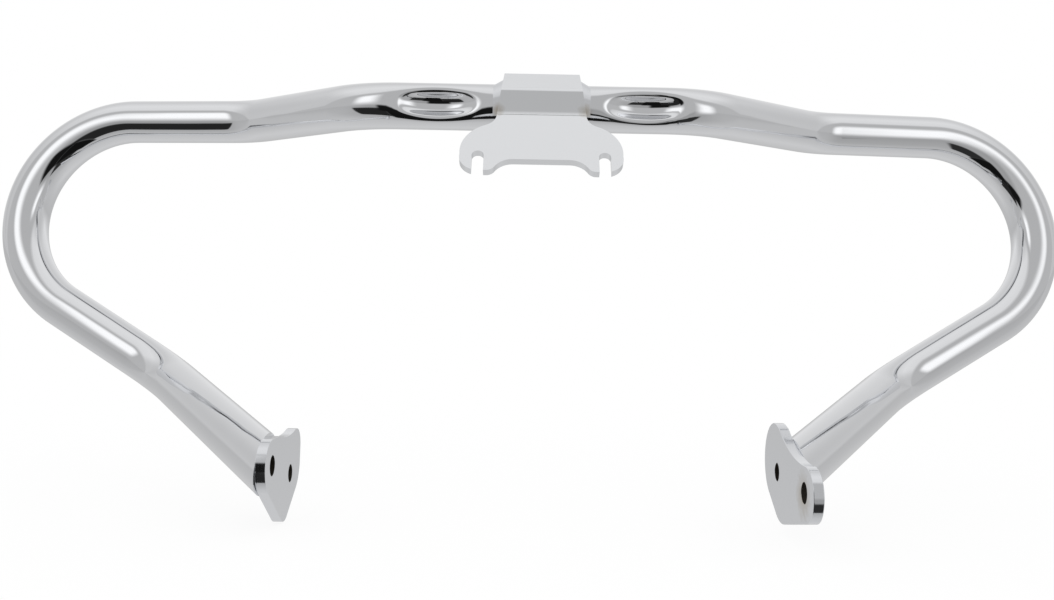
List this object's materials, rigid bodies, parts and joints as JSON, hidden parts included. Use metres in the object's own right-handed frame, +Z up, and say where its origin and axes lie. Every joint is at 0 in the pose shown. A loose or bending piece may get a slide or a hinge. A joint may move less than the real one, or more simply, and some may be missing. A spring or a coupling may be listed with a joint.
{
  "type": "motorcycle crash bar",
  "caption": "One-piece bent steel engine guard for a motorcycle, chromed, with a folded bracket at the middle, pressed dishes beside it and a drilled plate on each foot.",
  "frame": {"origin": "on the back face of the bracket's lower plate, midway between the round ends of its two open slots", "axes": "+X along the bar, to the right as seen from the front; -Y is the front, where the bracket and the dishes face; +Z up"},
  "size_m": [0.804, 0.2624, 0.2916],
  "materials": {
    "chrome": "bright chrome plate over polished steel, welds included"
  },
  "bodies": {
    "root": {"main_tube": "chrome", "centre_bracket": "chrome", "left_end_plate": "chrome", "right_end_plate": "chrome", "bracket_weld_left": "chrome", "bracket_weld_right": "chrome", "left_foot_weld": "chrome", "right_foot_weld": "chrome"}
  },
  "joints": []
}
